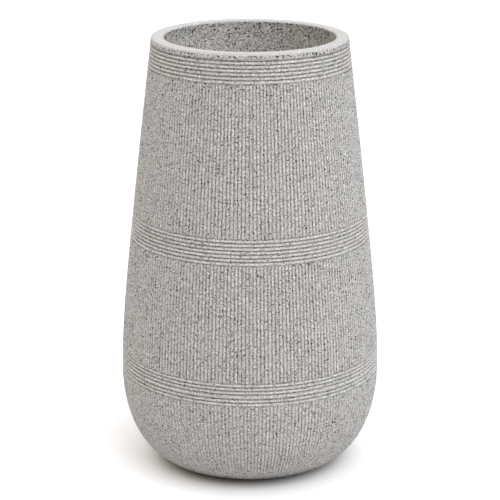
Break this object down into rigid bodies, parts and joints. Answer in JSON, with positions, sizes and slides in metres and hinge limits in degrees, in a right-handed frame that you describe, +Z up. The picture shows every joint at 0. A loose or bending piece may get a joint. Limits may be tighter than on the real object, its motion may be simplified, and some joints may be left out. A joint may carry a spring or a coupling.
{
  "type": "planter",
  "caption": "Tall round resin planter, tapering up from a full belly to a flat rim, with ringed bands, vertical ribs and a pull-out drain plug.",
  "frame": {"origin": "on the floor under the planter's axis, at the undersides of the foot pads", "axes": "+Z up along the planter's axis, from the foot to the mouth; +X to the right and +Y away from the camera in the picture's view"},
  "size_m": [0.3036, 0.3036, 0.508],
  "materials": {
    "resin": "matte stone-grey resin with dark and pale specks",
    "plug_rubber": "matt black moulded rubber",
    "pad_rubber": "matt black rubber"
  },
  "bodies": {
    "pot": {"planter_shell": "resin", "foot_pad_1": "pad_rubber", "foot_pad_2": "pad_rubber", "foot_pad_3": "pad_rubber", "foot_pad_4": "pad_rubber"},
    "plug": {"drain_plug": "plug_rubber"}
  },
  "joints": [
    {"name": "plug_pull", "type": "slide", "parent": "pot", "child": "plug", "axis": [0, 0, 1], "range_m": [0, 0.52]}
  ]
}
